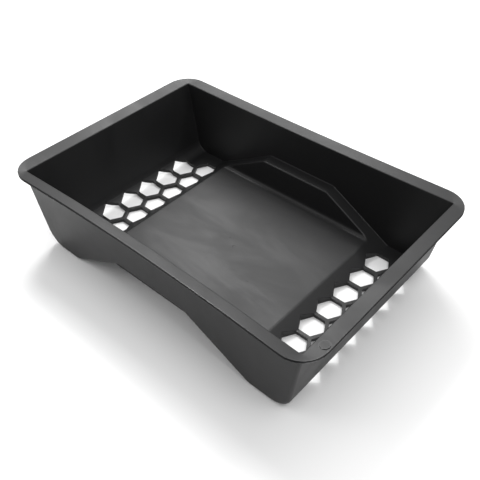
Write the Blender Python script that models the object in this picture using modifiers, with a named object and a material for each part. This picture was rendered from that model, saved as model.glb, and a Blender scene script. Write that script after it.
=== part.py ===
"""Paint roller tray: a black moulded tray with two drained wells and a raised middle.

X runs along the tray, Y across it, Z up. The origin is on the ground at the middle.
The tray is modelled as the panels that the moulding is made of: a flange round the
top, two bowed side walls with their feet, two end walls that curve into the wells,
two perforated well floors, the ramps up to the raised platform, and on each long
side a hand grip, which is a hollow box under the wall with a top, a face and flanks.
"""

import math

import bmesh
import bpy
from mathutils import Matrix, Vector

# Driving dimensions, in metres.
LENGTH = 0.380
WIDTH = 0.254
HEIGHT = 0.092
WALL = 0.003
GAP = 0.0003

FLANGE_END = 0.0145
FLANGE_SIDE = 0.0128
FLANGE_DIP = 0.0023
CORNER_RADIUS = 0.027
BOW_FRONT = 0.0057
BOW_BACK = 0.0026

END_DRAFT = 0.163
SIDE_DRAFT = 0.033
HEEL_RADIUS = 0.0213

PLATFORM_TOP = 0.0128
PLATFORM_HALF = 0.1027
RAMP_SLOPE = 0.551
GRIP_TOP = 0.0453
GRIP_FACE_Y = 0.0988
GRIP_FACE_DRAFT = 0.05

HOLE_PITCH = 0.0275
HOLE_ACROSS_FLATS = 0.0238
FOOT_HALF = 0.0965
FOOT_INSET = 0.0008
HOLE_ROW_X = 0.1244
INNER_ROW_HOLES = 7
OUTER_ROW_HOLES = 6

# Sizes that follow from them.
END_TOP_X = LENGTH / 2 - FLANGE_END
SIDE_TOP_Y = WIDTH / 2 - FLANGE_SIDE
HEEL_INNER = HEEL_RADIUS - WALL
END_LEAN = math.atan(END_DRAFT)
RAMP_ANGLE = math.atan(RAMP_SLOPE)
RIM_UNDER = HEIGHT - FLANGE_DIP - WALL - GAP
ARCH_TOP = GRIP_TOP - WALL
FOLD_X = PLATFORM_HALF + (PLATFORM_TOP - WALL) / RAMP_SLOPE
RAMP_END_X = HOLE_ROW_X - HOLE_ACROSS_FLATS / math.sqrt(3) - 0.0018
ROW_SPACING = HOLE_PITCH * math.sqrt(3) / 2
HEEL_SPLIT = math.radians(70)
ARC_STEPS = 8
BOW_STEPS = 16

BLACK = (0.018, 0.018, 0.019, 1.0)
ROUGHNESS = 0.42


def clear_scene():
    for ob in list(bpy.data.objects):
        bpy.data.objects.remove(ob, do_unlink=True)


def new_collection(name):
    collection = bpy.data.collections.new(name)
    bpy.context.scene.collection.children.link(collection)
    return collection


def black_plastic(name):
    mat = bpy.data.materials.new(name + "_plastic")
    mat.use_nodes = True
    shader = mat.node_tree.nodes["Principled BSDF"]
    shader.inputs["Base Color"].default_value = BLACK
    shader.inputs["Roughness"].default_value = ROUGHNESS
    shader.inputs["Metallic"].default_value = 0.0
    return mat


# The shape of the tray as functions of height and station.

def inner_end_x(z):
    return END_TOP_X - END_DRAFT * (HEIGHT - z)


def outer_end_x(z):
    return inner_end_x(z) + WALL * math.hypot(1, END_DRAFT)


def inner_side_y(z):
    return SIDE_TOP_Y - SIDE_DRAFT * (HEIGHT - z)


def grip_face_y(z):
    return GRIP_FACE_Y - GRIP_FACE_DRAFT * (GRIP_TOP - z)


def heel_center_x():
    return inner_end_x(HEEL_RADIUS) - HEEL_INNER * math.hypot(1, END_DRAFT)


def heel_arc(radius, start, end):
    """Points round the heel, from the floor (angle 0) towards the end wall."""
    points = []
    for step in range(ARC_STEPS + 1):
        angle = start + (end - start) * step / ARC_STEPS
        x = heel_center_x() + radius * math.sin(angle)
        points.append((x, HEEL_RADIUS - radius * math.cos(angle)))
    return points


def ramp_top_z(x):
    return PLATFORM_TOP - RAMP_SLOPE * (x - PLATFORM_HALF)


def ramp_under_x(z):
    """Where the underside of the ramp plane is at height z."""
    drop = PLATFORM_TOP - WALL * math.hypot(1, RAMP_SLOPE) - z
    return PLATFORM_HALF + drop / RAMP_SLOPE


def mitre(x, z):
    """The upper and lower point of the joint between a flat panel and the ramp plane."""
    return (x, z), (x - WALL * math.tan(RAMP_ANGLE / 2), z - WALL)


def pulled_in(co):
    """The long sides of the thin tray bow inwards, most at the rim and mid length."""
    bow = BOW_BACK if co.y > 0 else BOW_FRONT
    fade = min(max((co.z - ARCH_TOP) / (HEIGHT - ARCH_TOP), 0.0), 1.0)
    along = 1 - (2 * co.x / LENGTH) ** 2
    scale = 1 - bow * fade * along / (WIDTH / 2)
    return Vector((co.x, co.y * scale, co.z))


# Builders.

def finish(name, bm, collection):
    bmesh.ops.recalc_face_normals(bm, faces=bm.faces)
    mesh = bpy.data.meshes.new(name)
    bm.to_mesh(mesh)
    bm.free()
    ob = bpy.data.objects.new(name, mesh)
    mesh.materials.append(black_plastic(name))
    collection.objects.link(ob)
    return ob


def extruded_panel(name, outline, low_y, high_y, collection, side=1):
    """An X-Z outline run across the tray, from low_y(z) to high_y(z)."""
    bm = bmesh.new()
    verts = [bm.verts.new((side * x, 0, z)) for x, z in outline]
    face = bm.faces.new(verts)
    run = bmesh.ops.extrude_face_region(bm, geom=[face])
    far = [item for item in run["geom"] if isinstance(item, bmesh.types.BMVert)]
    for vert in verts:
        vert.co.y = low_y(vert.co.z)
    for vert in far:
        vert.co.y = high_y(vert.co.z)
    for vert in bm.verts:
        vert.co = pulled_in(vert.co)
    return finish(name, bm, collection)


def skin_panel(name, rows, collection):
    """An open grid of points, thickened downwards and outwards by the wall."""
    bm = bmesh.new()
    grid = [[bm.verts.new(pulled_in(Vector(p))) for p in row] for row in rows]
    for lower, upper in zip(grid[:-1], grid[1:]):
        for i in range(len(lower) - 1):
            bm.faces.new((lower[i], lower[i + 1], upper[i + 1], upper[i]))
    mesh = bpy.data.meshes.new(name)
    bm.to_mesh(mesh)
    bm.free()
    ob = bpy.data.objects.new(name, mesh)
    mesh.materials.append(black_plastic(name))
    collection.objects.link(ob)
    thick = ob.modifiers.new("Wall", "SOLIDIFY")
    thick.thickness = WALL
    thick.offset = -1.0
    thick.use_even_offset = True
    return ob


def across(z):
    return inner_side_y(z) - GAP


def minus_across(z):
    return -across(z)


def platform(collection):
    top, under = mitre(PLATFORM_HALF - GAP / 2, PLATFORM_TOP)
    outline = [(-top[0], top[1]), top, under, (-under[0], under[1])]
    def edge(z):
        return grip_face_y(PLATFORM_TOP) - GAP
    extruded_panel("platform", outline, lambda z: -edge(z), edge, collection)


def ramp(name, side, collection):
    top, under = mitre(PLATFORM_HALF + GAP / 2, ramp_top_z(PLATFORM_HALF + GAP / 2))
    low = Vector((RAMP_END_X, ramp_top_z(RAMP_END_X)))
    inward = Vector((-math.sin(RAMP_ANGLE), -math.cos(RAMP_ANGLE))) * WALL
    outline = [top, tuple(low), tuple(low + inward), under]
    extruded_panel(name, outline, minus_across, across, collection, side)


def hole_cutter(name, side, cutters):
    """The hexagonal prisms of one well: a row of seven and a row of six, points along X."""
    bm = bmesh.new()
    rows = ((HOLE_ROW_X, INNER_ROW_HOLES), (HOLE_ROW_X + ROW_SPACING, OUTER_ROW_HOLES))
    for x, count in rows:
        for i in range(count):
            y = (i - (count - 1) / 2) * HOLE_PITCH
            place = Matrix.Translation((side * x, y, HEEL_RADIUS)) @ Matrix.Rotation(math.pi / 2, 4, "Z")
            radius = HOLE_ACROSS_FLATS / math.sqrt(3)
            bmesh.ops.create_cone(bm, cap_ends=True, segments=6, radius1=radius, radius2=radius,
                                  depth=4 * HEEL_RADIUS, matrix=place)
    cutter = finish(name, bm, cutters)
    cutter.hide_render = True
    cutter.display_type = "WIRE"
    return cutter


def grille(name, side, collection, cutters):
    """The drained floor of a well: the foot of the ramp, the flat and the start of the heel."""
    start = Vector((RAMP_END_X, ramp_top_z(RAMP_END_X)))
    start += Vector((math.cos(RAMP_ANGLE), -math.sin(RAMP_ANGLE))) * GAP
    inward = Vector((-math.sin(RAMP_ANGLE), -math.cos(RAMP_ANGLE))) * WALL
    fold_top = (FOLD_X, WALL)
    fold_under = (FOLD_X - WALL * math.tan(RAMP_ANGLE / 2), 0.0)
    outline = [tuple(start), fold_top]
    outline += heel_arc(HEEL_INNER, 0.0, HEEL_SPLIT)
    outline += reversed(heel_arc(HEEL_RADIUS, 0.0, HEEL_SPLIT))
    outline += [fold_under, tuple(start + inward)]
    ob = extruded_panel(name, outline, minus_across, across, collection, side)
    # where the inner row of holes goes through the foot of the ramp, the plastic is solid to the ground
    end = (start + inward).x + FOOT_INSET
    solid = [(end, 0.0), (end, ramp_top_z(end) - 0.6 * WALL), (FOLD_X, 0.5 * WALL), (FOLD_X, 0.0)]
    foot = extruded_panel(name + "_foot", solid, lambda z: -FOOT_HALF, lambda z: FOOT_HALF, cutters, side)
    foot.hide_render = True
    foot.display_type = "WIRE"
    fill = ob.modifiers.new("Foot", "BOOLEAN")
    fill.object = foot
    fill.operation = "UNION"
    fill.solver = "EXACT"
    cut = ob.modifiers.new("Holes", "BOOLEAN")
    cut.object = hole_cutter(name + "_holes", side, cutters)
    cut.operation = "DIFFERENCE"
    cut.solver = "EXACT"


def end_wall(name, side, collection):
    """The leaning end panel, with the upper part of the heel that it grows from."""
    start = HEEL_SPLIT + GAP / HEEL_INNER
    tangent = math.pi / 2 - END_LEAN
    outline = heel_arc(HEEL_INNER, start, tangent)
    outline += [(inner_end_x(RIM_UNDER), RIM_UNDER), (outer_end_x(RIM_UNDER), RIM_UNDER)]
    outline += reversed(heel_arc(HEEL_RADIUS, start, tangent))
    extruded_panel(name, outline, minus_across, across, collection, side)


def side_wall(name, side, collection):
    """The upper band of a long wall, above the hand arch, from end to end."""
    rows = []
    for level in range(4):
        z = ARCH_TOP + (RIM_UNDER - ARCH_TOP) * level / 3
        reach = outer_end_x(z)
        columns = [-reach + 2 * reach * i / BOW_STEPS for i in range(BOW_STEPS + 1)]
        rows.append([(side * x, side * inner_side_y(z), z) for x in columns])
    skin_panel(name, rows, collection)


def wall_foot(name, side_x, side_y, collection):
    """A long wall below the arch: from the arch's sloping edge to the rounded end."""
    top = ARCH_TOP - GAP
    outline = [(ramp_under_x(top), top), (ramp_under_x(0.0), 0.0)]
    outline += heel_arc(HEEL_RADIUS, 0.0, math.pi / 2 - END_LEAN)
    outline.append((outer_end_x(top), top))
    def inner(z):
        return side_y * inner_side_y(z)
    def outer(z):
        return side_y * (inner_side_y(z) + WALL)
    extruded_panel(name, outline, inner, outer, collection, side_x)


def grip_face(name, side, collection):
    """The upright face of a hand grip, towards the inside of the tray."""
    top = ARCH_TOP - GAP
    low = PLATFORM_TOP - WALL
    half_top = ramp_under_x(top) - GAP
    half_low = ramp_under_x(low) - GAP
    outline = [(-half_low, low), (half_low, low), (half_top, top), (-half_top, top)]
    def inner(z):
        return side * grip_face_y(z)
    def outer(z):
        return side * (grip_face_y(z) + WALL)
    extruded_panel(name, outline, inner, outer, collection)


def grip_shelf(name, outline, side_y, collection, side_x=1):
    """A panel of the grip that spans from its face to the long wall."""
    def inner(z):
        return side_y * grip_face_y(z)
    def outer(z):
        return side_y * across(z)
    extruded_panel(name, outline, inner, outer, collection, side_x)


def grip_top(name, side, collection):
    half = PLATFORM_HALF - (GRIP_TOP - PLATFORM_TOP) / RAMP_SLOPE
    top, under = mitre(half - GAP / 2, GRIP_TOP)
    outline = [(-top[0], top[1]), top, under, (-under[0], under[1])]
    grip_shelf(name, outline, side, collection)


def grip_flank(name, side_x, side_y, collection):
    half = PLATFORM_HALF - (GRIP_TOP - PLATFORM_TOP) / RAMP_SLOPE + GAP / 2
    high_top, high_under = mitre(half, ramp_top_z(half))
    low_x = PLATFORM_HALF - GAP / 2
    low_top, low_under = mitre(low_x, ramp_top_z(low_x))
    grip_shelf(name, [high_top, low_top, low_under, high_under], side_y, collection, side_x)


def flange_point(x, y, inset):
    """A point of the flange, whose inner edge lies lower than its outer edge."""
    return x, y, HEIGHT - FLANGE_DIP * inset


def rim_side(name, side, collection):
    reach = LENGTH / 2 - CORNER_RADIUS - GAP
    columns = [side * (-reach + 2 * reach * i / BOW_STEPS) for i in range(BOW_STEPS + 1)]
    outer = [flange_point(x, side * WIDTH / 2, 0.0) for x in columns]
    inner = [flange_point(x, side * SIDE_TOP_Y, 1.0) for x in columns]
    skin_panel(name, [inner, outer], collection)


def rim_end(name, side, collection):
    """An end of the flange with its two rounded corners, round a square inner corner."""
    centre_x = LENGTH / 2 - CORNER_RADIUS
    centre_y = WIDTH / 2 - CORNER_RADIUS
    outer = []
    inner = []
    for turn in (-1, 1):
        for step in range(ARC_STEPS + 1):
            along = step / ARC_STEPS if turn < 0 else 1 - step / ARC_STEPS
            angle = along * math.pi / 2
            x = centre_x + CORNER_RADIUS * math.sin(angle)
            y = turn * (centre_y + CORNER_RADIUS * math.cos(angle))
            outer.append(flange_point(x, y, 0.0))
            reach_x = centre_x + (END_TOP_X - centre_x) * min(2 * along, 1.0)
            reach_y = turn * (SIDE_TOP_Y - (SIDE_TOP_Y - centre_y) * max(2 * along - 1, 0.0))
            inner.append(flange_point(reach_x, reach_y, 1.0))
    rows = [outer, inner] if side > 0 else [inner, outer]
    rows = [[(side * x, y, z) for x, y, z in row] for row in rows]
    skin_panel(name, rows, collection)


def main():
    clear_scene()
    tray = new_collection("paint_roller_tray")
    cutters = new_collection("cutters")
    platform(tray)
    for end, side_x in (("left", -1), ("right", 1)):
        ramp("ramp_" + end, side_x, tray)
        grille("well_grille_" + end, side_x, tray, cutters)
        end_wall("end_wall_" + end, side_x, tray)
        rim_end("rim_" + end, side_x, tray)
    for face, side_y in (("front", -1), ("back", 1)):
        side_wall("side_wall_" + face, side_y, tray)
        rim_side("rim_" + face, side_y, tray)
        grip_face("grip_face_" + face, side_y, tray)
        grip_top("grip_top_" + face, side_y, tray)
        for end, side_x in (("left", -1), ("right", 1)):
            wall_foot("wall_foot_" + face + "_" + end, side_x, side_y, tray)
            grip_flank("grip_flank_" + face + "_" + end, side_x, side_y, tray)


main()
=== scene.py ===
# Paint roller tray: one black moulding, on a white studio floor.
# X runs along the tray, Y across it, Z up, in metres.
# The origin is on the ground under its middle.

import math

import bmesh
import bpy
from mathutils import Matrix, Vector


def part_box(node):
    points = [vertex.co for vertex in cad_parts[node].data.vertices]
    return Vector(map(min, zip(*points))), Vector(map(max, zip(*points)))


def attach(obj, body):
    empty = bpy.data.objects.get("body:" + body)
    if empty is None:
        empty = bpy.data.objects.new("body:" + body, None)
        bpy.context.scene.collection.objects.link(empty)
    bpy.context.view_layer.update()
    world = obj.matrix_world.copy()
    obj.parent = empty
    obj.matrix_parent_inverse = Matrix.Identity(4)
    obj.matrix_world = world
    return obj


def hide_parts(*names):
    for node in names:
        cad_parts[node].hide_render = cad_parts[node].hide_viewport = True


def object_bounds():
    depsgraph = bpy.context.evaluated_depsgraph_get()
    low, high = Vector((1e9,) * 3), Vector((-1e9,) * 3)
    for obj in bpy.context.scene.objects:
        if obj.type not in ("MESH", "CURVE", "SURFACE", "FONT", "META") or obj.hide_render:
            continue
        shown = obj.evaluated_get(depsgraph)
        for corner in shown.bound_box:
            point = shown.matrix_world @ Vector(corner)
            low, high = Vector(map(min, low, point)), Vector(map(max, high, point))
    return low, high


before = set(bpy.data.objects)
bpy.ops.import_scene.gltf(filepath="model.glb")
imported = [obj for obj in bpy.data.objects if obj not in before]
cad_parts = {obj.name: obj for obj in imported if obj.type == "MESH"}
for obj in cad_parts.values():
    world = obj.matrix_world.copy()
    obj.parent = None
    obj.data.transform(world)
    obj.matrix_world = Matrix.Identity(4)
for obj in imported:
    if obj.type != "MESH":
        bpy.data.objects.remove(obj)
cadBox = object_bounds()
print("frame loaded:", len(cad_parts), "nodes")


# Camera, at the angle from which the tray is shown.

camera = {
    "direction": (42.766, 44.688),   # degrees round from the tray's front, and above the floor
    "roll": -1.723,                  # degrees
    "position": (0.33698, -0.34289, 0.46104),
    "lens": 46.84,
    "sensor": 36.0,
    "shift": (-0.0176, 0.0472),
    "clipEnd": 20,
}


def setUpCamera(name, values):
    around, above = (math.radians(a) for a in values["direction"])
    back = Vector((math.sin(around) * math.cos(above), -math.cos(around) * math.cos(above),
                   math.sin(above)))
    right = Vector((0, 0, 1)).cross(back).normalized()
    up = back.cross(right)
    turn = Matrix.Rotation(math.radians(values["roll"]), 3, back)
    data = bpy.data.cameras.new(name)
    data.lens = values["lens"]
    data.sensor_width = values["sensor"]
    data.shift_x, data.shift_y = values["shift"]
    data.clip_end = values["clipEnd"]
    ob = bpy.data.objects.new(name, data)
    bpy.context.scene.collection.objects.link(ob)
    axes = Matrix((turn @ right, turn @ up, turn @ back)).transposed()
    ob.matrix_world = Matrix.Translation(values["position"]) @ axes.to_4x4()
    bpy.context.scene.camera = ob


setUpCamera("studioCamera", camera)
print("camera placed")


# Small helpers for work in edit mode.

near = 2e-5        # metres within which two points count as one
level = 0.99       # a face whose normal's Z is over this lies flat
upright = 0.05     # and one whose normal's Z is under this stands up


def deselectAll():
    if bpy.context.object and bpy.context.object.mode != "OBJECT":
        bpy.ops.object.mode_set(mode="OBJECT")
    bpy.ops.object.select_all(action="DESELECT")


def selectOnly(ob):
    deselectAll()
    ob.select_set(True)
    bpy.context.view_layer.objects.active = ob


def openForEditing(ob, mode="EDGE"):
    selectOnly(ob)
    bpy.ops.object.mode_set(mode="EDIT")
    bpy.ops.mesh.select_mode(type=mode)


def closeEditing():
    bpy.ops.object.mode_set(mode="OBJECT")


def pick(ob, part, test):
    # selects the vertices, edges or faces that pass the test, and says how many there are
    bpy.ops.mesh.select_all(action="DESELECT")
    bm = bmesh.from_edit_mesh(ob.data)
    bm.normal_update()
    found = [item for item in getattr(bm, part) if test(item)]
    for item in found:
        item.select_set(True)
    bm.select_flush(True)
    bmesh.update_edit_mesh(ob.data)
    return len(found)


def bothEnds(edge, test):
    return test(edge.verts[0].co) and test(edge.verts[1].co)


def sharpness(edge):
    # degrees between the two faces, over 0 where the edge stands out and under 0 in a corner
    if len(edge.link_faces) != 2:
        return 0.0
    return math.degrees(edge.calc_face_angle_signed(0.0))


def roundEdges(ob, label, size, steps, test):
    count = pick(ob, "edges", test)
    bpy.ops.mesh.bevel(offset=size, segments=steps, affect="EDGES", clamp_overlap=False)
    print("rounded", label + ":", count, "edges")


def moveNew(x, y, z):
    # draws out what is selected, and moves what that makes
    bpy.ops.mesh.extrude_region_move(TRANSFORM_OT_translate={"value": (x, y, z)})


def applyModifier(ob, kind, **values):
    modifier = ob.modifiers.new(kind.lower(), kind)
    for key, value in values.items():
        setattr(modifier, key, value)
    selectOnly(ob)
    bpy.ops.object.modifier_apply(modifier=modifier.name)


def combine(ob, tool, operation):
    # adds the tool's shape to the piece or takes it out, and then the tool is gone
    applyModifier(ob, "BOOLEAN", object=tool, operation=operation, solver="EXACT")
    bpy.data.objects.remove(tool)


def joinInto(ob, others):
    deselectAll()
    for other in [ob, *others]:
        other.select_set(True)
    bpy.context.view_layer.objects.active = ob
    bpy.ops.object.join()
    return ob


def bakePlace(ob):
    selectOnly(ob)
    bpy.ops.object.transform_apply(location=True, rotation=True, scale=True)


# The moulding.

tray = {
    "length": 0.380,
    "width": 0.254,
    "height": cadBox[1].z,
    "wall": 0.003,
    "flangeEnd": 0.0145,             # how far the flange reaches out at the ends
    "flangeSide": 0.0128,            # and along the long sides
    "flangeDip": 0.0023,             # its inner edge lies this much lower
    "cornerRadius": 0.027,
    "bow": {"front": 0.0057, "back": 0.0026},
    "ribTop": 0.0042,                # the top of the ribs between the holes
    "endLean": 0.163,                # how far a wall leans out for each metre up
    "sideLean": 0.033,
    "heelRadius": 0.0183,            # where the wells' floors turn up into the end walls
    "platformTop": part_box("platform")[1].z,
    "platformHalf": 0.1027,
    "rampSlope": 0.551,              # how far the ramps go down for each metre outwards
    "gripTop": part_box("grip_top_front")[1].z,
    "gripFace": 0.0988,              # from the middle line to the top of the grip's face
    "gripLean": 0.05,
    "insideRound": 0.0008,           # where the side walls meet the rest of the inside
    "gripFillet": 0.0045,            # between the platform and the grip
    "edgeRound": 0.0015,             # the edges of the grip that stand out
    "rimRound": 0.0009,              # where the flange turns down into the walls
    "rimReach": 0.0001,              # how far above or below its height that edge may lie
    "underRimRound": 0.001,          # the same for the corner outside the walls
    "underRimReach": 0.0008,
    "flangeEdgeRound": 0.0004,
    "edgeGroove": (0.0006, 0.0012),  # round the flange's edge: its margins and its depth
    "grooveClear": 0.0002,           # its faces keep this far from the flange's top and bottom
    "foldRound": 0.003,              # where the wells' floors turn up into the ramps
    "gripFoldRound": 0.0015,
    "bowStep": 0.018,                # between the cuts that let the long sides bow
    "bowCuts": 6,                    # on each side of the middle
    "bowFineness": 1e-6,             # a cut this close to a point goes through it
    "roundSteps": 8,
    "heelSteps": 12,
    "sharpAngle": 20,                # degrees from which an edge is rounded
    "flatAngles": (0.3, 0.05),       # degrees under which a fold is dropped, early and late
    "smoothAngle": 38,               # degrees up to which an edge is shaded smooth
}

rimZ = tray["height"] - tray["flangeDip"]
sideTopY = tray["width"] / 2 - tray["flangeSide"]
endTopX = tray["length"] / 2 - tray["flangeEnd"]
endAngle = math.atan(tray["endLean"])
foldX = tray["platformHalf"] + (tray["platformTop"] - tray["wall"]) / tray["rampSlope"]
gripTopX = tray["platformHalf"] - (tray["gripTop"] - tray["platformTop"]) / tray["rampSlope"]


def sideY(z):
    return sideTopY - tray["sideLean"] * (tray["height"] - z)


def endX(z):
    return endTopX - tray["endLean"] * (tray["height"] - z)


def gripY(z):
    return tray["gripFace"] - tray["gripLean"] * (tray["gripTop"] - z)


def pastSides(co):
    # how far a point lies outside the flange's box, under 0 for a point inside it
    return max(abs(co.x) - tray["length"] / 2, abs(co.y) - tray["width"] / 2)


heelZ = tray["wall"] + tray["heelRadius"]
heelX = endX(heelZ) - tray["heelRadius"] * math.hypot(1, tray["endLean"])


def layStrip(name, nearY, farY, start, corners):
    # a strip of the tray's floor from its middle outwards, then round the heel and up the end
    (x, z) = corners[0]
    bpy.ops.mesh.primitive_plane_add(size=1, location=(x / 2, (nearY + farY) / 2, start))
    strip = bpy.context.object
    strip.name = name
    strip.scale = (x, farY - nearY, 1)
    bakePlace(strip)
    openForEditing(strip)
    pick(strip, "edges", lambda e: bothEnds(e, lambda co: abs(co.x - x) < near))
    for nextX, nextZ in corners[1:] + [(heelX, tray["wall"])]:
        moveNew(nextX - x, 0, nextZ - z)
        x, z = nextX, nextZ
    bpy.ops.mesh.spin(steps=tray["heelSteps"], angle=math.pi / 2 - endAngle,
                      center=(heelX, 0, heelZ), axis=(0, 1, 0))
    x = heelX + tray["heelRadius"] * math.cos(endAngle)
    z = heelZ - tray["heelRadius"] * math.sin(endAngle)
    moveNew(endX(rimZ) - x, 0, rimZ - z)
    closeEditing()
    return strip


def makeQuarter():
    # a quarter of the tray's inside, from its middle to one corner
    edgeY = gripY(tray["platformTop"])
    platformCorner = (tray["platformHalf"], tray["platformTop"])
    fold = (foldX, tray["wall"])
    floor = layStrip("traySkin", 0, edgeY, tray["platformTop"], [platformCorner, fold])
    band = layStrip("gripBand", edgeY, sideTopY, tray["gripTop"],
                    [(gripTopX, tray["gripTop"]), fold])
    # the platform's corner meets the band partway down its slope, so a line is cut there first
    openForEditing(band)
    bpy.ops.mesh.select_all(action="SELECT")
    bpy.ops.mesh.bisect(plane_co=(tray["platformHalf"], 0, 0), plane_no=(1, 0, 0))
    closeEditing()
    for vert in band.data.vertices:
        if vert.co.y > edgeY + near:
            vert.co.y = sideY(vert.co.z)
        elif vert.co.x < tray["platformHalf"] + near:
            vert.co.y = gripY(vert.co.z)
    # the plain side wall above the band
    openForEditing(band, "VERT")
    pick(band, "verts", lambda v: v.co.x < near and v.co.y > gripY(tray["gripTop"]) + near)
    rise = rimZ - tray["gripTop"]
    moveNew(0, tray["sideLean"] * rise, rise)
    pick(band, "verts", lambda v: abs(v.co.y - sideY(v.co.z)) < near)
    bpy.ops.mesh.edge_face_add()
    closeEditing()
    skin = joinInto(floor, [band])
    openForEditing(skin, "VERT")
    bpy.ops.mesh.select_all(action="SELECT")
    bpy.ops.mesh.remove_doubles(threshold=near)
    # the grip's upright face
    corners = [(0, tray["platformTop"]), platformCorner,
               (gripTopX, tray["gripTop"]), (0, tray["gripTop"])]

    def onGripFace(vert):
        return any(abs(vert.co.x - x) < near and abs(vert.co.z - z) < near
                   and abs(vert.co.y - gripY(z)) < near for x, z in corners)

    pick(skin, "verts", onGripFace)
    bpy.ops.mesh.edge_face_add()
    bpy.ops.mesh.select_all(action="SELECT")
    bpy.ops.mesh.normals_make_consistent(inside=False)
    bpy.ops.mesh.dissolve_limited(angle_limit=math.radians(tray["flatAngles"][0]))
    closeEditing()
    print("quarter laid")
    return skin


def roundInside(skin):
    # the side walls meet the rest in one continuous fillet, and the grip has its own
    openForEditing(skin)

    def fillet(label, size, steps, test):
        roundEdges(skin, label, size, steps,
                   lambda e: len(e.link_faces) == 2 and bothEnds(e, test))

    def along(x, z):
        return lambda co: abs(co.x - x) < near and abs(co.z - z) < near

    fillet("fold of the ramp", tray["foldRound"], 3, along(foldX, tray["wall"]))
    fillet("fold of the grip", tray["gripFoldRound"], 3, along(gripTopX, tray["gripTop"]))
    fillet("side wall", tray["insideRound"], tray["roundSteps"],
           lambda co: abs(co.y - sideY(co.z)) < near)
    fillet("foot of the grip", tray["gripFillet"], 6,
           lambda co: abs(co.z - tray["platformTop"]) < near and abs(co.y - gripY(co.z)) < near)
    closeEditing()


def addFlange(skin):
    # the flange goes out from the top of the walls, and its corners are round
    openForEditing(skin)
    pick(skin, "edges", lambda e: len(e.link_faces) == 1 and bothEnds(
        e, lambda co: abs(co.z - rimZ) < near))
    moveNew(0, 0, tray["flangeDip"])
    bm = bmesh.from_edit_mesh(skin.data)
    outer = [v for v in bm.verts if v.select]
    radius = tray["cornerRadius"]
    centre = Vector((tray["length"] / 2 - radius, tray["width"] / 2 - radius, tray["height"]))
    arc = [v for v in outer if v.co.x > near and v.co.y > near]
    arc.sort(key=lambda v: v.co.x - v.co.y)
    for vert in outer:
        if vert.co.x < near:
            vert.co = Vector((0, tray["width"] / 2, tray["height"]))
        elif vert.co.y < near:
            vert.co = Vector((tray["length"] / 2, 0, tray["height"]))
    for step, vert in enumerate(arc):
        angle = math.pi / 2 * (1 - step / (len(arc) - 1))
        vert.co = centre + radius * Vector((math.cos(angle), math.sin(angle), 0))
    bmesh.update_edit_mesh(skin.data)
    closeEditing()
    print("flange added")


def finishWalls(skin):
    # the quarter becomes the whole inside, and then the walls get their thickness
    applyModifier(skin, "MIRROR", use_axis=(True, True, False), merge_threshold=near)
    openForEditing(skin)
    bpy.ops.mesh.select_all(action="SELECT")
    bpy.ops.mesh.normals_make_consistent(inside=False)
    bm = bmesh.from_edit_mesh(skin.data)
    platform = max(bm.faces, key=lambda f: f.calc_area() * (abs(f.normal.z) > level))
    if platform.normal.z < 0:
        bpy.ops.mesh.flip_normals()
    bpy.ops.mesh.dissolve_limited(angle_limit=math.radians(tray["flatAngles"][1]))
    closeEditing()
    insidePoints = len(skin.data.vertices)
    applyModifier(skin, "SOLIDIFY", thickness=tray["wall"], offset=-1, use_even_offset=True,
                  use_quality_normals=True)
    # the ribs between the holes are thicker than the walls, so the wells are filled to their tops
    for vert in skin.data.vertices[:insidePoints]:
        vert.co.z = max(vert.co.z, tray["ribTop"])
    standEdgeUpright(skin)
    print("walls thickened")


def standEdgeUpright(skin):
    # the flange's outer edge is square: its lower corner lies straight under the upper one
    nearlyWall = tray["wall"] * 0.9
    bm = bmesh.new()
    bm.from_mesh(skin.data)
    for vert in bm.verts:
        if vert.co.z > tray["height"] - near:
            for edge in vert.link_edges:
                other = edge.other_vert(vert)
                if vert.co.z - other.co.z > nearlyWall:
                    other.co.x, other.co.y = vert.co.x, vert.co.y
    bm.to_mesh(skin.data)
    bm.free()


def softenEdges(skin):
    # rounds the edges that the mould leaves, each with its own radius
    openForEditing(skin)
    underRim = rimZ - tray["wall"]

    def soften(label, size, steps, test):
        roundEdges(skin, label, size, steps,
                   lambda e: abs(sharpness(e)) > tray["sharpAngle"] and test(e))

    def onRim(co):
        return abs(co.z - rimZ) < tray["rimReach"]

    def underIt(co):
        return abs(co.z - underRim) < tray["underRimReach"]

    def onFlangeEdge(co):
        return co.z > underRim and pastSides(co) > -tray["cornerRadius"] / 3

    def onGrip(co):
        return (tray["platformTop"] - near < co.z < tray["gripTop"] + near
                and abs(co.y) < tray["gripFace"] + near)

    soften("rim", tray["rimRound"], 4, lambda e: bothEnds(e, onRim))
    soften("under the rim", tray["underRimRound"], 2,
           lambda e: sharpness(e) < 0 and bothEnds(e, underIt))
    soften("flange edge", tray["flangeEdgeRound"], 2, lambda e: bothEnds(e, onFlangeEdge))
    soften("grip", tray["edgeRound"], 3, lambda e: sharpness(e) > 0 and bothEnds(e, onGrip))
    # the groove goes right round the flange's upright edge
    bandLow = tray["height"] - tray["wall"] + tray["grooveClear"]
    bandHigh = tray["height"] - tray["grooveClear"]

    def onBand(face):
        return (abs(face.normal.z) < upright
                and all(bandLow < v.co.z < bandHigh for v in face.verts)
                and pastSides(face.calc_center_median()) > -tray["cornerRadius"] / 2)

    pick(skin, "faces", onBand)
    margin, depth = tray["edgeGroove"]
    bpy.ops.mesh.inset(thickness=margin, depth=-depth)
    closeEditing()
    print("flange grooved")


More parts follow.
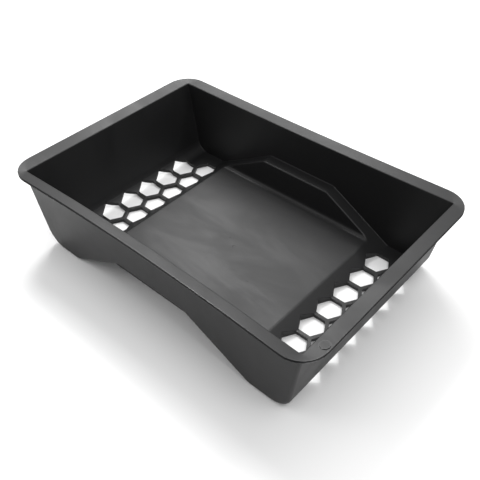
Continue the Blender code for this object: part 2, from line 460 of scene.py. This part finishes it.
def bowSides(skin):
    # the long sides are pulled in a little, most at the rim and halfway along
    openForEditing(skin)
    for index in range(-tray["bowCuts"], tray["bowCuts"] + 1):
        bpy.ops.mesh.select_all(action="SELECT")
        bpy.ops.mesh.bisect(plane_co=(index * tray["bowStep"], 0, 0), plane_no=(1, 0, 0),
                            threshold=tray["bowFineness"])
    closeEditing()
    foot = tray["gripTop"] - tray["wall"]
    for vert in skin.data.vertices:
        bow = tray["bow"]["back" if vert.co.y > 0 else "front"]
        fade = min(max((vert.co.z - foot) / (tray["height"] - foot), 0), 1)
        along = 1 - (2 * vert.co.x / tray["length"]) ** 2
        vert.co.y *= 1 - bow * fade * along / (tray["width"] / 2)
    print("sides bowed")


marks = {
    "disc": {"radius": 0.0046, "rise": 0.0006, "place": (0.184, -0.0965)},
    "discDepth": 0.6,                # its height, as a share of the wall
    "discRound": 0.45,               # its edge, as a share of its rise
    "dimples": [                     # place, radius, depth
        ((0.0015, -0.0017), 0.0018, 0.00020),
        ((-0.011, 0.0058), 0.0008, 0.00018),
        ((0.046, -0.031), 0.0008, 0.00018),
    ],
}


def addMarks(skin):
    # what the mould leaves: a low disc on the flange by one corner, and dimples in the platform
    disc = marks["disc"]
    x, y = disc["place"]
    lean = math.atan(tray["flangeDip"] / tray["flangeEnd"])
    top = tray["height"] - (tray["length"] / 2 - x) * math.tan(lean)
    depth = tray["wall"] * marks["discDepth"]
    axis = Vector((-math.sin(lean), 0, math.cos(lean)))
    deselectAll()
    bpy.ops.mesh.primitive_cylinder_add(
        vertices=40, radius=disc["radius"], depth=depth, rotation=(0, -lean, 0),
        location=Vector((x, y, top)) + axis * (disc["rise"] - depth / 2))
    stamp = bpy.context.object
    bakePlace(stamp)
    openForEditing(stamp)
    highest = Vector((x, y, top)).dot(axis) + disc["rise"]
    roundEdges(stamp, "disc", disc["rise"] * marks["discRound"], 2,
               lambda e: bothEnds(e, lambda co: abs(co.dot(axis) - highest) < near))
    closeEditing()
    combine(skin, stamp, "UNION")
    pips = []
    for (x, y), radius, depth in marks["dimples"]:
        deselectAll()
        bpy.ops.mesh.primitive_uv_sphere_add(segments=20, ring_count=12, radius=1,
                                             location=(x, y, tray["platformTop"]))
        pips.append(bpy.context.object)
        pips[-1].scale = (radius, radius, depth)
        bakePlace(pips[-1])
    combine(skin, joinInto(pips[0], pips[1:]), "DIFFERENCE")
    print("marks made:", len(pips) + 1)


footFill = {
    "end": 0.1083,                   # from the middle of the tray to its upright inner face
    "start": 0.1210,                 # and to its thin outer edge
    "half": 0.0965,
    "belowTop": 0.0018,              # how far its top lies under the ramp's
}


def fillRampFeet(skin):
    # the foot of each ramp is solid down to the ground, where the inner row of holes goes through
    deselectAll()
    bpy.ops.mesh.primitive_cube_add(size=1, location=(0, 0, 0))
    wedge = bpy.context.object
    rampTop = (tray["platformTop"]
               - tray["rampSlope"] * (footFill["end"] - tray["platformHalf"]))
    for vert in wedge.data.vertices:
        if vert.co.x < 0:
            x, top = footFill["end"], rampTop - footFill["belowTop"]
        else:
            x, top = footFill["start"], tray["wall"] / 2
        y = math.copysign(footFill["half"], vert.co.y)
        vert.co = Vector((x, y, top if vert.co.z > 0 else 0))
    applyModifier(wedge, "MIRROR", use_axis=(True, False, False), use_mirror_merge=False)
    combine(skin, wedge, "UNION")
    print("ramp feet filled")


holes = {
    "pitch": 0.0275,                 # from one hole to the next along a row
    "acrossFlats": 0.0238,
    "innerRow": 0.1244,              # its distance from the middle of the tray
    "innerCount": 7,
    "outerCount": 6,
    "cornerRound": 0.0005,
    "edgeRound": 0.00025,
    "edgeAngle": 45,                 # degrees from which an edge counts as a hole's rim
    "cutterHeight": 0.08,
}


def holePlaces():
    places = []
    outerRow = holes["innerRow"] + holes["pitch"] * math.sqrt(3) / 2
    rows = (holes["innerRow"], holes["innerCount"]), (outerRow, holes["outerCount"])
    for x, count in rows:
        for index in range(count):
            y = (index - (count - 1) / 2) * holes["pitch"]
            places += [(x, y), (-x, y)]
    return places


def cutHoles(skin):
    # one six-sided cutter is shaped, copied to every hole, and taken out of both wells at once
    radius = holes["acrossFlats"] / math.sqrt(3)
    deselectAll()
    bpy.ops.mesh.primitive_cylinder_add(vertices=6, radius=radius, location=(0, 0, 0),
                                        depth=holes["cutterHeight"])
    cutter = bpy.context.object
    cutter.rotation_euler.z = math.radians(30)
    bakePlace(cutter)
    openForEditing(cutter)
    roundEdges(cutter, "cutter", holes["cornerRound"], 3,
               lambda e: abs(e.verts[0].co.z - e.verts[1].co.z) > holes["cutterHeight"] / 2)
    closeEditing()
    copies = []
    for x, y in holePlaces():
        copy = cutter.copy()
        copy.data = cutter.data.copy()
        copy.location = (x, y, 0)
        bpy.context.scene.collection.objects.link(copy)
        copies.append(copy)
    cutters = joinInto(copies[0], copies[1:])
    bpy.data.objects.remove(cutter)
    bakePlace(cutters)
    combine(skin, cutters, "DIFFERENCE")
    # their rims are broken, as the mould leaves them
    places = [Vector(p) for p in holePlaces()]

    def onHole(co):
        return any((co.xy - p).length < radius + near for p in places)

    openForEditing(skin)
    roundEdges(skin, "holes", holes["edgeRound"], 2,
               lambda e: abs(sharpness(e)) > holes["edgeAngle"] and bothEnds(e, onHole))
    closeEditing()
    print("holes cut:", len(places))


def smoothShading(skin):
    selectOnly(skin)
    bpy.ops.object.shade_smooth_by_angle(angle=math.radians(tray["smoothAngle"]))
    applyModifier(skin, "WEIGHTED_NORMAL", keep_sharp=True, weight=50)


shell = makeQuarter()
roundInside(shell)
addFlange(shell)
finishWalls(shell)
softenEdges(shell)
bowSides(shell)
addMarks(shell)
fillRampFeet(shell)
cutHoles(shell)
smoothShading(shell)
shell.name = "moulding"
print("moulding made:", len(shell.data.vertices), "points", len(shell.data.polygons), "faces")


# The finish: black polypropylene, satin from the mould, with fine grain and a little handling.

plastic = {
    "colour": (0.0105, 0.0105, 0.0109, 1),
    "worn": (0.030, 0.030, 0.031, 1),
    "dust": (0.20, 0.19, 0.18, 1),
    "dustAmount": 0.25,
    "rubAmount": 0.35,
    "roughness": (0.37, 0.48),       # in a smear, and away from one
    "grainRoughness": 0.06,
    "edgeRoughness": -0.30,
    "grainDepth": 0.00004,
    "grainStrength": 0.22,
    "reflection": 0.34,
    "refraction": 1.5,
    "grain": {"Grain Size": 2600.0, "Wave Size": 22.0, "Waviness": 25.0},
    "rubbing": {"Width": 0.0012, "Patchiness": 160.0},
    "handling": {"Smear Size": 9.0, "Dust Size": 900.0},
}


def addNode(tree, kind, place=(0, 0), **values):
    # a value goes to the input of that name, and otherwise to the node's own setting
    node = tree.nodes.new(kind)
    node.location = place
    for key, value in values.items():
        if key in node.inputs:
            node.inputs[key].default_value = value
        else:
            setattr(node, key, value)
    return node


def addRange(tree, place, start, end, **values):
    # turns start into 0 and end into 1
    node = addNode(tree, "ShaderNodeMapRange", place, **values)
    node.inputs["From Min"].default_value = start
    node.inputs["From Max"].default_value = end
    return node


def newGroup(name, numbers, outputs):
    # every group reads a place on the piece, and numbers that its material gives
    group = bpy.data.node_groups.new(name, "ShaderNodeTree")
    group.interface.new_socket("Vector", in_out="INPUT", socket_type="NodeSocketVector")
    for label in numbers:
        group.interface.new_socket(label, in_out="INPUT", socket_type="NodeSocketFloat")
    for label in outputs:
        group.interface.new_socket(label, in_out="OUTPUT", socket_type="NodeSocketFloat")
    entry = addNode(group, "NodeGroupInput", (-900, 0))
    result = addNode(group, "NodeGroupOutput", (700, 0))
    return group, entry, result


def placeGroup(tree, group, place, values):
    node = addNode(tree, "ShaderNodeGroup", place)
    node.node_tree = group
    for key, value in values.items():
        node.inputs[key].default_value = value
    return node


def makeMouldGrain():
    # the fine etched grain of the mould, with a few slow waves where the plastic shrank
    group, entry, result = newGroup(
        "mouldGrain", ["Grain Size", "Wave Size", "Waviness"], ["Height", "Mask"])
    fine = addNode(group, "ShaderNodeTexNoise", (-500, 200), Detail=3.0, Roughness=0.6)
    slow = addNode(group, "ShaderNodeTexNoise", (-500, -150), Detail=2.0, Roughness=0.45)
    waves = addNode(group, "ShaderNodeMath", (-200, -150), operation="MULTIPLY")
    total = addNode(group, "ShaderNodeMath", (100, 50), operation="ADD")
    link = group.links.new
    link(entry.outputs["Vector"], fine.inputs["Vector"])
    link(entry.outputs["Grain Size"], fine.inputs["Scale"])
    link(entry.outputs["Vector"], slow.inputs["Vector"])
    link(entry.outputs["Wave Size"], slow.inputs["Scale"])
    link(slow.outputs["Fac"], waves.inputs[0])
    link(entry.outputs["Waviness"], waves.inputs[1])
    link(fine.outputs["Fac"], total.inputs[0])
    link(waves.outputs["Value"], total.inputs[1])
    link(total.outputs["Value"], result.inputs["Height"])
    link(fine.outputs["Fac"], result.inputs["Mask"])
    return group


def makeRubbedEdges():
    # 1 along the edges that hands and rollers rub, 0 on the flats, and the same in patches
    group, entry, result = newGroup("rubbedEdges", ["Width", "Patchiness"], ["Mask", "Edge"])
    rounded = addNode(group, "ShaderNodeBevel", (-600, 200), samples=6)
    actual = addNode(group, "ShaderNodeNewGeometry", (-600, -100))
    turned = addNode(group, "ShaderNodeVectorMath", (-380, 100), operation="DOT_PRODUCT")
    away = addRange(group, (-180, 100), 0.995, 0.9)
    patches = addNode(group, "ShaderNodeTexNoise", (-380, -200), Detail=4.0, Roughness=0.65)
    patchy = addRange(group, (-180, -200), 0.38, 0.68)
    both = addNode(group, "ShaderNodeMath", (100, 0), operation="MULTIPLY")
    link = group.links.new
    link(entry.outputs["Width"], rounded.inputs["Radius"])
    link(rounded.outputs["Normal"], turned.inputs[0])
    link(actual.outputs["Normal"], turned.inputs[1])
    link(turned.outputs["Value"], away.inputs["Value"])
    link(entry.outputs["Vector"], patches.inputs["Vector"])
    link(entry.outputs["Patchiness"], patches.inputs["Scale"])
    link(patches.outputs["Fac"], patchy.inputs["Value"])
    link(away.outputs["Result"], both.inputs[0])
    link(patchy.outputs["Result"], both.inputs[1])
    link(both.outputs["Value"], result.inputs["Mask"])
    link(away.outputs["Result"], result.inputs["Edge"])
    return group


def makeHandling():
    # soft smears from the press and from hands, and fine dust that lies on level faces
    group, entry, result = newGroup("handling", ["Smear Size", "Dust Size"], ["Smears", "Dust"])
    stretch = addNode(group, "ShaderNodeMapping", (-700, 250),
                      Rotation=(0.0, 0.0, 0.6), Scale=(1.0, 2.4, 1.0))
    smear = addNode(group, "ShaderNodeTexNoise", (-480, 250),
                    Detail=5.0, Roughness=0.6, Distortion=0.6)
    smearRange = addRange(group, (-260, 250), 0.35, 0.7, interpolation_type="SMOOTHSTEP")
    specks = addNode(group, "ShaderNodeTexNoise", (-480, -50), Detail=2.0, Roughness=0.7)
    speckRange = addRange(group, (-260, -50), 0.7, 0.8)
    facing = addNode(group, "ShaderNodeNewGeometry", (-700, -300))
    parts = addNode(group, "ShaderNodeSeparateXYZ", (-480, -300))
    dust = addNode(group, "ShaderNodeMath", (0, -100), operation="MULTIPLY", use_clamp=True)
    link = group.links.new
    link(entry.outputs["Vector"], stretch.inputs["Vector"])
    link(stretch.outputs["Vector"], smear.inputs["Vector"])
    link(entry.outputs["Smear Size"], smear.inputs["Scale"])
    link(smear.outputs["Fac"], smearRange.inputs["Value"])
    link(smearRange.outputs["Result"], result.inputs["Smears"])
    link(entry.outputs["Vector"], specks.inputs["Vector"])
    link(entry.outputs["Dust Size"], specks.inputs["Scale"])
    link(specks.outputs["Fac"], speckRange.inputs["Value"])
    link(facing.outputs["Normal"], parts.inputs["Vector"])
    link(speckRange.outputs["Result"], dust.inputs[0])
    link(parts.outputs["Z"], dust.inputs[1])
    link(dust.outputs["Value"], result.inputs["Dust"])
    return group


def makePlastic():
    material = bpy.data.materials.new("blackPlastic")
    material.use_nodes = True
    tree = material.node_tree
    shader = tree.nodes["Principled BSDF"]
    shader.inputs["Specular IOR Level"].default_value = plastic["reflection"]
    shader.inputs["IOR"].default_value = plastic["refraction"]
    link = tree.links.new
    where = addNode(tree, "ShaderNodeTexCoord", (-1400, 0))
    grainNode = placeGroup(tree, makeMouldGrain(), (-1100, -350), plastic["grain"])
    edgeNode = placeGroup(tree, makeRubbedEdges(), (-1100, 250), plastic["rubbing"])
    handNode = placeGroup(tree, makeHandling(), (-1100, 0), plastic["handling"])
    for node in (grainNode, edgeNode, handNode):
        link(where.outputs["Object"], node.inputs["Vector"])
    # colour: black, a little greyer where it is rubbed, with a few specks of dust
    rubAmount = addNode(tree, "ShaderNodeMath", (-850, 300), operation="MULTIPLY")
    rubAmount.inputs[1].default_value = plastic["rubAmount"]
    link(edgeNode.outputs["Mask"], rubAmount.inputs[0])
    wornMix = addNode(tree, "ShaderNodeMix", (-600, 300), data_type="RGBA")
    wornMix.inputs["A"].default_value = plastic["colour"]
    wornMix.inputs["B"].default_value = plastic["worn"]
    dustAmount = addNode(tree, "ShaderNodeMath", (-600, 60), operation="MULTIPLY")
    dustAmount.inputs[1].default_value = plastic["dustAmount"]
    dustMix = addNode(tree, "ShaderNodeMix", (-350, 250), data_type="RGBA")
    dustMix.inputs["B"].default_value = plastic["dust"]
    link(rubAmount.outputs["Value"], wornMix.inputs["Factor"])
    link(handNode.outputs["Dust"], dustAmount.inputs[0])
    link(dustAmount.outputs["Value"], dustMix.inputs["Factor"])
    link(wornMix.outputs["Result"], dustMix.inputs["A"])
    link(dustMix.outputs["Result"], shader.inputs["Base Color"])
    # sheen: smoother in the smears and along the edges, a little uneven with the grain
    smooth = addNode(tree, "ShaderNodeMapRange", (-850, -50))
    smooth.inputs["To Min"].default_value = plastic["roughness"][1]
    smooth.inputs["To Max"].default_value = plastic["roughness"][0]
    uneven = addNode(tree, "ShaderNodeMath", (-600, -150), operation="MULTIPLY_ADD")
    uneven.inputs[1].default_value = plastic["grainRoughness"]
    polished = addNode(tree, "ShaderNodeMath", (-350, -100), operation="MULTIPLY_ADD")
    polished.inputs[1].default_value = plastic["edgeRoughness"]
    link(handNode.outputs["Smears"], smooth.inputs["Value"])
    link(grainNode.outputs["Mask"], uneven.inputs[0])
    link(smooth.outputs["Result"], uneven.inputs[2])
    link(edgeNode.outputs["Edge"], polished.inputs[0])
    link(uneven.outputs["Value"], polished.inputs[2])
    link(polished.outputs["Value"], shader.inputs["Roughness"])
    bump = addNode(tree, "ShaderNodeBump", (-350, -400))
    bump.inputs["Strength"].default_value = plastic["grainStrength"]
    bump.inputs["Distance"].default_value = plastic["grainDepth"]
    link(grainNode.outputs["Height"], bump.inputs["Height"])
    link(bump.outputs["Normal"], shader.inputs["Normal"])
    return material


shell.data.materials.clear()
shell.data.materials.append(makePlastic())
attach(shell, "root")
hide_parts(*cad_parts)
print("plastic made")


# The studio: a white floor that runs out of sight, even white light, and five soft lights,
# three from behind and the left, one past the right end and a weak one in front.

studio = {
    "floorColour": (0.9, 0.9, 0.9, 1),
    "floorRoughness": 0.9,
    "floorSize": 12.0,
    "floorLevel": -0.0002,           # just under the feet, so that the two never share a plane
    "world": 0.58,
    "worldColour": (1, 1, 1, 1),
    "distance": 1.3,                 # from each light to the point that all of them face
    "aim": (0, 0, 0.04),
    "lights": {
        # name: width and height, degrees round from the right end and above the floor, watts
        "softBack": ((0.55, 0.55), (135, 42), 6.6),
        "softStrip": ((1.40, 0.12), (100, 63), 7.5),
        "softLeft": ((0.18, 0.18), (152, 57), 4.0),
        "softRight": ((0.55, 0.55), (-8, 60), 5.2),
        "softFront": ((0.55, 0.55), (225, 42), 1.7),
    },
}


def layFloor():
    deselectAll()
    bpy.ops.mesh.primitive_plane_add(size=studio["floorSize"],
                                     location=(0, 0, studio["floorLevel"]))
    ground = bpy.context.object
    ground.name = "studioFloor"
    bakePlace(ground)
    material = bpy.data.materials.new("studioWhite")
    material.use_nodes = True
    shader = material.node_tree.nodes["Principled BSDF"]
    shader.inputs["Base Color"].default_value = studio["floorColour"]
    shader.inputs["Roughness"].default_value = studio["floorRoughness"]
    ground.data.materials.append(material)


def hangLights():
    for name, (size, angles, watts) in studio["lights"].items():
        data = bpy.data.lights.new(name, "AREA")
        data.shape = "RECTANGLE"
        data.size, data.size_y = size
        data.energy = watts
        around, above = (math.radians(a) for a in angles)
        away = Vector((math.cos(above) * math.cos(around), math.cos(above) * math.sin(around),
                       math.sin(above)))
        lamp = bpy.data.objects.new(name, data)
        lamp.location = Vector(studio["aim"]) + studio["distance"] * away
        lamp.rotation_euler = away.to_track_quat("Z", "Y").to_euler()
        bpy.context.scene.collection.objects.link(lamp)
    world = bpy.data.worlds.new("studioWorld")
    world.use_nodes = True
    background = world.node_tree.nodes["Background"]
    background.inputs["Color"].default_value = studio["worldColour"]
    background.inputs["Strength"].default_value = studio["world"]
    bpy.context.scene.world = world
    bpy.context.scene.view_settings.view_transform = "Standard"


layFloor()
hangLights()
print("studio lit")
